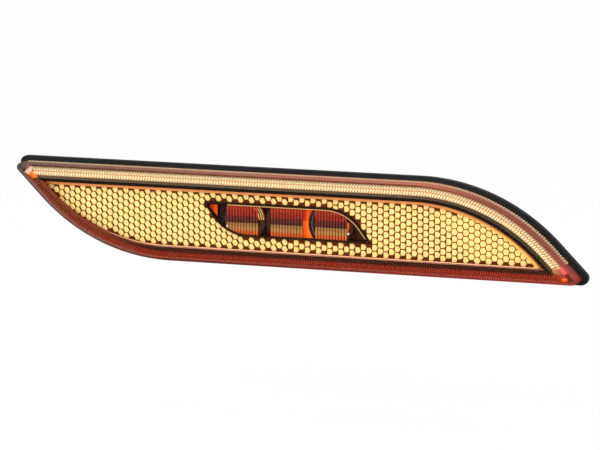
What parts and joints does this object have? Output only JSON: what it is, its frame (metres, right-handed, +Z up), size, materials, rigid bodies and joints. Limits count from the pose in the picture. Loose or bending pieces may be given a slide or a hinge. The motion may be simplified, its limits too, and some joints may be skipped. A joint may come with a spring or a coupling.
{
  "type": "side marker lamp",
  "caption": "Side marker lamp with a swept amber cover, a prismatic reflex reflector round a lit window, ribbed light guides, a black housing and mounting studs",
  "frame": {"origin": "middle of the mounting pattern, on the face of the gasket that seats on the vehicle body", "axes": "right-handed, +Z up, +X to the lamp's right seen from the front, front facing -Y"},
  "size_m": [0.2214, 0.03, 0.0366],
  "materials": {
    "foam_rubber": "matt closed-cell foam",
    "black_plastic": "fine moulded texture",
    "amber_cover": "clear polished, tinted amber",
    "brown_plastic": "smooth moulded",
    "clear_guide": "clear polished with ribs",
    "dark_bezel": "smooth moulded",
    "amber_reflector": "clear polished with corner-cube pins behind",
    "clear_optic": "clear polished with flutes",
    "board_green": "solder mask",
    "led_white": "moulded package",
    "chip_black": "moulded package",
    "capacitor_tan": "fired ceramic",
    "zinc_steel": "zinc plated",
    "tinned_brass": "stamped",
    "membrane_white": "porous film"
  },
  "bodies": {
    "root": {"body_gasket": "foam_rubber", "housing": "black_plastic", "outer_cover": "amber_cover", "guide_tray": "brown_plastic", "upper_light_guide": "clear_guide", "lower_light_guide": "clear_guide", "inner_bezel": "dark_bezel", "reflex_reflector": "amber_reflector", "window_frame": "dark_bezel", "cup_block": "brown_plastic", "left_optic": "clear_optic", "middle_optic": "clear_optic", "right_optic": "clear_optic", "circuit_board": "board_green", "left_led": "led_white", "middle_led": "led_white", "right_led": "led_white", "upper_guide_led": "led_white", "lower_guide_led": "led_white", "driver_chip": "chip_black", "resistors": "chip_black", "capacitors": "capacitor_tan", "input_diode": "chip_black", "board_screws": "zinc_steel", "terminal_pins": "tinned_brass", "vent_membrane": "membrane_white", "left_stud": "zinc_steel", "right_stud": "zinc_steel"}
  },
  "joints": []
}
